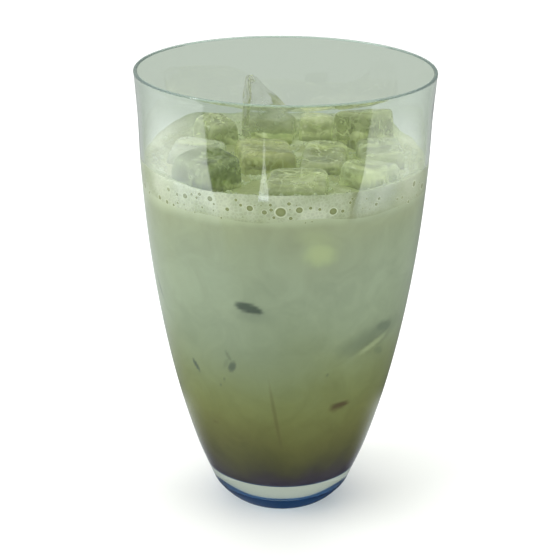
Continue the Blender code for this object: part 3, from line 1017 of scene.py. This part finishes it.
# Sunk cubes, each kept under a film of milk, so none of them shows; the cold spots on the drink mark where they come
# near the wall.
sunk_mat, nodes, links, bsdf = tree("sunk_ice")
coord = nodes.new("ShaderNodeTexCoord")
blot = node(nodes, "ShaderNodeTexNoise")
blot.inputs["Scale"].default_value = 260.0
ramp = nodes.new("ShaderNodeValToRGB")
ramp.color_ramp.elements[0].color = (0.085, 0.110, 0.090, 1.0)
ramp.color_ramp.elements[1].color = (0.150, 0.190, 0.160, 1.0)
links.new(coord.outputs["Object"], blot.inputs["Vector"])
links.new(blot.outputs["Fac"], ramp.inputs["Fac"])
links.new(ramp.outputs["Color"], bsdf.inputs["Base Color"])
bsdf.inputs["Roughness"].default_value = 0.15
bm = bmesh.new()
for centre, axes, halves in SUNK_BOXES:
    one = bmesh.new()
    bmesh.ops.create_cube(one, size=1.0)
    for v in one.verts:
        v.co = Vector([c * 2 * h for c, h in zip(v.co, halves)])
    bmesh.ops.bevel(one, geom=list(one.edges), offset=SUNK_ROUND, segments=6, profile=0.5, affect="EDGES", clamp_overlap=True)
    spin = Matrix((axes[0], axes[1], axes[2])).transposed().to_4x4()
    bmesh.ops.transform(one, matrix=Matrix.Translation(centre) @ spin, verts=one.verts)
    bmesh.ops.recalc_face_normals(one, faces=one.faces)
    hold = bpy.data.meshes.new("hold")
    one.to_mesh(hold)
    one.free()
    bm.from_mesh(hold)
    bpy.data.meshes.remove(hold)
to_metres(bm)
sunk_ice = new_object("sunk_ice", bm, [sunk_mat], 0)
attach(sunk_ice, "root")

# ---------------------------------------------------------------- bubbles
# Against the wall: azimuth from the front, height, radius.
WALL_BUBBLES = [
    (-1.2, 106.2, 1.66), (5.7, 106.8, 1.10), (9.9, 107.3, 0.55), (13.4, 106.8, 0.50), (18.7, 105.9, 1.24),
    (-7.3, 106.0, 0.83), (-12.8, 106.9, 1.05), (-16.3, 107.6, 0.50), (-21.7, 105.9, 0.66), (-28.9, 108.2, 0.95),
    (-35.0, 107.7, 0.50), (-40.7, 107.3, 0.95), (-50.2, 107.6, 0.80), (-51.8, 103.6, 0.75), (25.5, 107.9, 0.5),
]
rng = random.Random(21)
while len(WALL_BUBBLES) < 150:
    az = rng.uniform(-180, 180)
    z = rng.uniform(103.0, 109.0)
    r = rng.choice((0.28, 0.35, 0.45, 0.6, 0.85, 1.1)) if abs(az) > 55 else rng.choice((0.2, 0.25, 0.3, 0.38, 0.5, 0.62))
    near = min(math.hypot((az - a) * 0.72, z - h) - r - q for a, h, q in WALL_BUBBLES)
    if near > 0.25:
        WALL_BUBBLES.append((az, z, r))


def bubble_material():
    mat, nodes, links, bsdf = tree("bubble_skin")
    ring = node(nodes, "ShaderNodeAttribute", attribute_name="rim")
    # Painted shade and highlight: across each bubble from its middle to its edge, a dark ring and then a bright ring.
    ramp = nodes.new("ShaderNodeValToRGB")
    steps = ramp.color_ramp.elements
    steps[0].position, steps[0].color = 0.0, (0.255, 0.285, 0.125, 1.0)
    steps[1].position, steps[1].color = 1.0, (0.450, 0.490, 0.330, 1.0)
    for place, colour in ((0.45, (0.225, 0.255, 0.105)), (0.66, (0.185, 0.215, 0.080)), (0.80, (0.560, 0.600, 0.430)), (0.90, (0.620, 0.660, 0.500))):
        steps.new(place).color = (*colour, 1.0)
    links.new(ring.outputs["Fac"], ramp.inputs["Fac"])
    coord = nodes.new("ShaderNodeTexCoord")
    blot = node(nodes, "ShaderNodeTexNoise")
    blot.inputs["Scale"].default_value = 700.0
    links.new(coord.outputs["Object"], blot.inputs["Vector"])
    vary = node(nodes, "ShaderNodeMapRange")
    vary.inputs["To Min"].default_value = 0.85
    vary.inputs["To Max"].default_value = 1.15
    links.new(blot.outputs["Fac"], vary.inputs["Value"])
    tone = node(nodes, "ShaderNodeMix", data_type="RGBA", blend_type="MULTIPLY")
    tone.inputs["Factor"].default_value = 1.0
    links.new(ramp.outputs["Color"], tone.inputs[6])
    links.new(vary.outputs["Result"], tone.inputs[7])
    links.new(tone.outputs[2], bsdf.inputs["Base Color"])
    bsdf.inputs["Roughness"].default_value = 0.25
    return mat


bubble_skin = bubble_material()
bm = bmesh.new()
rim_layer = bm.verts.layers.float.new("rim")
for az, z, r in WALL_BUBBLES:
    r *= 1.14
    rounds, spokes = 10, 24
    squash = 1.0 if r < 0.6 else 0.92
    previous = None
    lens_front = []
    for k in range(rounds + 1):
        t = k / rounds
        lift = 0.05 + 0.05 * (1 - t * t)
        ring_verts = []
        for s in range(1 if k == 0 else spokes):
            b = math.tau * s / spokes
            du, dv = r * t * math.cos(b), r * t * squash * math.sin(b)
            zz = z + dv
            rr = drink_radius(zz) + (lift if k < rounds else -0.06)
            a = math.radians(az) + du / rr
            v = bm.verts.new((rr * math.sin(a), -rr * math.cos(a), zz))
            v[rim_layer] = t
            ring_verts.append(v)
        if previous:
            for s in range(spokes):
                n = (s + 1) % spokes
                if len(previous) == 1:
                    bm.faces.new((previous[0], ring_verts[s], ring_verts[n]))
                else:
                    bm.faces.new((previous[s], ring_verts[s], ring_verts[n], previous[n]))
        previous = ring_verts
    a0 = math.radians(az)
    back_r = drink_radius(z) - 0.3
    back = bm.verts.new((back_r * math.sin(a0), -back_r * math.cos(a0), z))
    back[rim_layer] = 1.0
    for s in range(spokes):
        bm.faces.new((back, previous[(s + 1) % spokes], previous[s]))
bmesh.ops.recalc_face_normals(bm, faces=bm.faces)
to_metres(bm)
wall_bubbles = new_object("wall_bubbles", bm, [bubble_skin], 0)
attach(wall_bubbles, "root")

# On top, between the cubes and along the glass: half-sunk bubbles, in clusters.
tops = []
for number, (name, centre, size, turn, edges) in enumerate(ICE):
    one = ice_mesh(size, 40 + number, edges)
    placed(one, centre, turn)
    tops.append(BVHTree.FromBMesh(one))
    one.free()


def ice_gap(place):
    """Distance from the nearest cube, below zero inside one."""
    best = 1e3
    for shape in tops:
        near, normal, _, far = shape.find_nearest(place)
        if near is not None:
            best = min(best, far if (place - near).dot(normal) > 0 else -far)
    return best


rng = random.Random(77)
TOP_BUBBLES = []
tries = 0
while len(TOP_BUBBLES) < 520 and tries < 30000:
    tries += 1
    r0, a0 = 41.0 * math.sqrt(rng.random()), rng.uniform(0, math.tau)
    x, y = r0 * math.cos(a0), r0 * math.sin(a0)
    size = rng.choice((0.22, 0.28, 0.28, 0.36, 0.36, 0.48, 0.65, 0.9))
    if r0 + size > 41.1:
        continue
    z = FOAM_TOP + froth_relief(x, y)
    gap = ice_gap(Vector((x, y, z)))
    if gap < size * 0.5:
        continue
    crowd = noise.noise(Vector((x, y, 20)) * 0.14) + 0.35 * smooth(33, 39, r0) + 0.3 * smooth(2.2, 0.6, gap)
    if crowd < 0.12:
        continue
    if any((x - p[0]) ** 2 + (y - p[1]) ** 2 < (0.92 * (size + p[3])) ** 2 for p in TOP_BUBBLES):
        continue
    TOP_BUBBLES.append((x, y, z + size * 0.10, size))
bm = bmesh.new()
for x, y, z, size in TOP_BUBBLES:
    made = bmesh.ops.create_icosphere(bm, subdivisions=2, radius=size)
    for v in made["verts"]:
        v.co += Vector((x, y, z))
to_metres(bm)
film, nodes, links, bsdf = tree("bubble_film")
bsdf.inputs["Transmission Weight"].default_value = 0.72
bsdf.inputs["IOR"].default_value = 1.16
coord = nodes.new("ShaderNodeTexCoord")
blot = node(nodes, "ShaderNodeTexNoise")
blot.inputs["Scale"].default_value = 500.0
links.new(coord.outputs["Object"], blot.inputs["Vector"])
ramp = nodes.new("ShaderNodeValToRGB")
ramp.color_ramp.elements[0].color = (0.520, 0.570, 0.400, 1.0)
ramp.color_ramp.elements[1].color = (0.780, 0.830, 0.680, 1.0)
links.new(blot.outputs["Fac"], ramp.inputs["Fac"])
links.new(ramp.outputs["Color"], bsdf.inputs["Base Color"])
soft = node(nodes, "ShaderNodeMapRange")
soft.inputs["To Min"].default_value = 0.02
soft.inputs["To Max"].default_value = 0.14
links.new(blot.outputs["Fac"], soft.inputs["Value"])
links.new(soft.outputs["Result"], bsdf.inputs["Roughness"])
see_lamps(film, (0.92, 0.95, 0.88))
top_bubbles = new_object("top_bubbles", bm, [film], 0)
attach(top_bubbles, "root")

# ---------------------------------------------------------------- floor, light and camera
mesh = bpy.data.meshes.new("floor")
mesh.from_pydata([(-4, -4, 0), (4, -4, 0), (4, 4, 0), (-4, 4, 0)], [], [(0, 1, 2, 3)])
floor = bpy.data.objects.new("floor", mesh)
scene.collection.objects.link(floor)
floor.location.z = -0.0002
floor_mat, nodes, links, bsdf = tree("pale_floor")
bsdf.inputs["Base Color"].default_value = (0.92, 0.93, 0.92, 1.0)
bsdf.inputs["Roughness"].default_value = 0.9
bsdf.inputs["Specular IOR Level"].default_value = 0.0
shade = nodes.new("ShaderNodeEmission")
shade.inputs["Color"].default_value = (0.586, 0.636, 0.570, 1.0)
path = nodes.new("ShaderNodeLightPath")
mix = nodes.new("ShaderNodeMixShader")
links.new(path.outputs["Is Transmission Ray"], mix.inputs[0])
links.new(bsdf.outputs[0], mix.inputs[1])
links.new(shade.outputs[0], mix.inputs[2])
links.new(mix.outputs[0], nodes["Material Output"].inputs["Surface"])
mesh.materials.append(floor_mat)

world = bpy.data.worlds.new("studio")
scene.world = world
world.use_nodes = True
nodes, links = world.node_tree.nodes, world.node_tree.links
ground = nodes["Background"]
ground.inputs["Color"].default_value = (0.414, 0.427, 0.40, 1.0)
ground.inputs["Strength"].default_value = 1.0
white = nodes.new("ShaderNodeBackground")
white.inputs["Color"].default_value = (1.0, 1.0, 1.0, 1.0)
path = nodes.new("ShaderNodeLightPath")
mix = nodes.new("ShaderNodeMixShader")
through = nodes.new("ShaderNodeBackground")
through.inputs["Color"].default_value = (0.560, 0.610, 0.548, 1.0)
behind = nodes.new("ShaderNodeMixShader")
links.new(path.outputs["Is Transmission Ray"], behind.inputs[0])
links.new(ground.outputs[0], behind.inputs[1])
links.new(through.outputs[0], behind.inputs[2])
links.new(path.outputs["Is Camera Ray"], mix.inputs[0])
links.new(behind.outputs[0], mix.inputs[1])
links.new(white.outputs[0], mix.inputs[2])
links.new(mix.outputs[0], nodes["World Output"].inputs["Surface"])


def panel(name, at, toward, size, power, colour=(1, 1, 1), glossy=False):
    lamp = bpy.data.lights.new(name, "AREA")
    lamp.shape = "RECTANGLE"
    lamp.size, lamp.size_y = size
    lamp.energy = power
    lamp.color = colour
    made = bpy.data.objects.new(name, lamp)
    scene.collection.objects.link(made)
    made.location = at
    made.rotation_euler = (Vector(toward) - Vector(at)).to_track_quat("-Z", "Y").to_euler()
    made.visible_camera = False
    made.visible_transmission = False
    made.visible_glossy = glossy
    return made


panel("key_left", (-0.95, -0.35, 0.75), (0, 0, 0.07), (0.9, 0.9), 10.0)
panel("fill_right", (0.95, -0.30, 0.60), (0, 0, 0.07), (0.9, 0.9), 5.0)
panel("overhead", (0.0, 0.25, 1.3), (0, 0, 0.05), (1.3, 1.3), 16.0)
sparkle = panel("sparkle", (-1.00, -0.11, 0.99), (-0.02, -0.03, 0.13), (0.10, 0.16), 6.0, glossy=True)
sparkle.visible_diffuse = False


def surround_light(az, z):
    """What the glass mirrors, by azimuth from the front (right positive) and height on the bowl below:
    a soft bright window on each side, dimmer towards the back, with a dark gap in front that narrows downwards."""
    left = -(47.0 + (z - 80.0) * 0.42)
    right = 49.3 + (z - 80.0) * 0.50
    blur = 0.7 if z > 74 else 0.7 + (74 - z) * 0.35
    high = smooth(66, 78, z)
    back = smooth(78, 125, abs(az))
    if az < 0:
        side = smooth(-left - blur, -left + blur, -az)
        level = 0.42 + 2.00 * high
        rear = 0.62 - 0.14 * high
    else:
        side = smooth(right - blur, right + blur, az)
        level = 0.15 + 1.95 * high
        rear = 0.25 + 0.15 * high
    value = 0.10 + side * (level * (1 - back) + rear * back - 0.10)
    value *= 0.35 + 0.65 * smooth(2, 40, z)
    value += side * (1 - back) * (3.3 if az < 0 else 2.3) * smooth(77, 83, z) * smooth(99, 88, z)
    value += back * (0.36 if az < 0 else 0.46) * smooth(10, 2, z)
    thin = 0.4 + 2.9 * smooth(94, 78, z)
    if 77.0 < z < 95.0:
        value += 5.5 * smooth(95, 89, z) * smooth(thin + 0.4, thin - 0.4, abs(az + 12.9))
    return value


def surround():
    """A bowl round the glass that only reflections see, bright and dark as surround_light says."""
    path = [(15.5, 0.15), (30.0, 0.3), (50.0, 0.5), (60.0, 0.9)]
    path += [(60.0 + 178.0 * t, 0.9 + 259.0 * t) for t in (k / 150 for k in range(1, 151))]
    turns = 720
    verts, faces, glow = [], [], []
    for r, z in path:
        for k in range(turns):
            az = -180.0 + 360.0 * k / turns
            a = math.radians(az)
            verts.append((r * math.sin(a) / 1000, -r * math.cos(a) / 1000, z / 1000))
            glow.append(surround_light(az, z))
    for j in range(len(path) - 1):
        for k in range(turns):
            n = (k + 1) % turns
            faces.append((j * turns + k, j * turns + n, (j + 1) * turns + n, (j + 1) * turns + k))
    mesh = bpy.data.meshes.new("surround")
    mesh.from_pydata(verts, [], faces)
    level = mesh.attributes.new("glow", "FLOAT", "POINT")
    level.data.foreach_set("value", glow)
    sky = mesh.attributes.new("cool", "FLOAT", "POINT")
    sky.data.foreach_set("value", [
        smooth(84, 76, v[2] * 1000) * smooth(38, 56, v[2] * 1000) * smooth(92, 72, abs(math.degrees(math.atan2(v[0], -v[1]))))
        for v in verts
    ])
    mat = bpy.data.materials.new("surround")
    mat.use_nodes = True
    nodes, links = mat.node_tree.nodes, mat.node_tree.links
    nodes.remove(nodes["Principled BSDF"])
    emit = nodes.new("ShaderNodeEmission")
    cool = node(nodes, "ShaderNodeAttribute", attribute_name="cool")
    tint = node(nodes, "ShaderNodeMix", data_type="RGBA")
    tint.inputs[6].default_value = (0.95, 1.0, 1.02, 1.0)
    tint.inputs[7].default_value = (0.88, 0.98, 1.30, 1.0)
    links.new(cool.outputs["Fac"], tint.inputs["Factor"])
    links.new(tint.outputs[2], emit.inputs["Color"])
    level = node(nodes, "ShaderNodeAttribute", attribute_name="glow")
    links.new(level.outputs["Fac"], emit.inputs["Strength"])
    links.new(emit.outputs[0], nodes["Material Output"].inputs["Surface"])
    mesh.materials.append(mat)
    made = bpy.data.objects.new("surround", mesh)
    scene.collection.objects.link(made)
    made.visible_camera = False
    made.visible_diffuse = False
    made.visible_transmission = False
    made.visible_shadow = False
    made.visible_volume_scatter = False
    made.visible_glossy = True


surround()

cam_data = bpy.data.cameras.new("camera")
cam = bpy.data.objects.new("camera", cam_data)
scene.collection.objects.link(cam)
cam_data.sensor_fit = "HORIZONTAL"
cam_data.sensor_width = 36.0
cam_data.lens = 1547.0 / 560.0 * 36.0
cam_data.clip_start = 0.01
cam.matrix_world = (
    Matrix.Translation((0.0, -0.440, 0.2392))
    @ Matrix.Rotation(math.atan(3.4 / 1547.0), 4, "Z")
    @ Matrix.Rotation(math.radians(90 - 20.98), 4, "X")
    @ Matrix.Rotation(math.radians(0.617), 4, "Z")
)
scene.camera = cam

scene.view_settings.view_transform = "Standard"
scene.view_settings.look = "None"
scene.cycles.caustics_reflective = False
scene.cycles.caustics_refractive = False
scene.cycles.max_bounces = 24
scene.cycles.transmission_bounces = 20
scene.cycles.glossy_bounces = 8
scene.cycles.diffuse_bounces = 4
scene.cycles.transparent_max_bounces = 24
scene.cycles.sample_clamp_indirect = 6.0
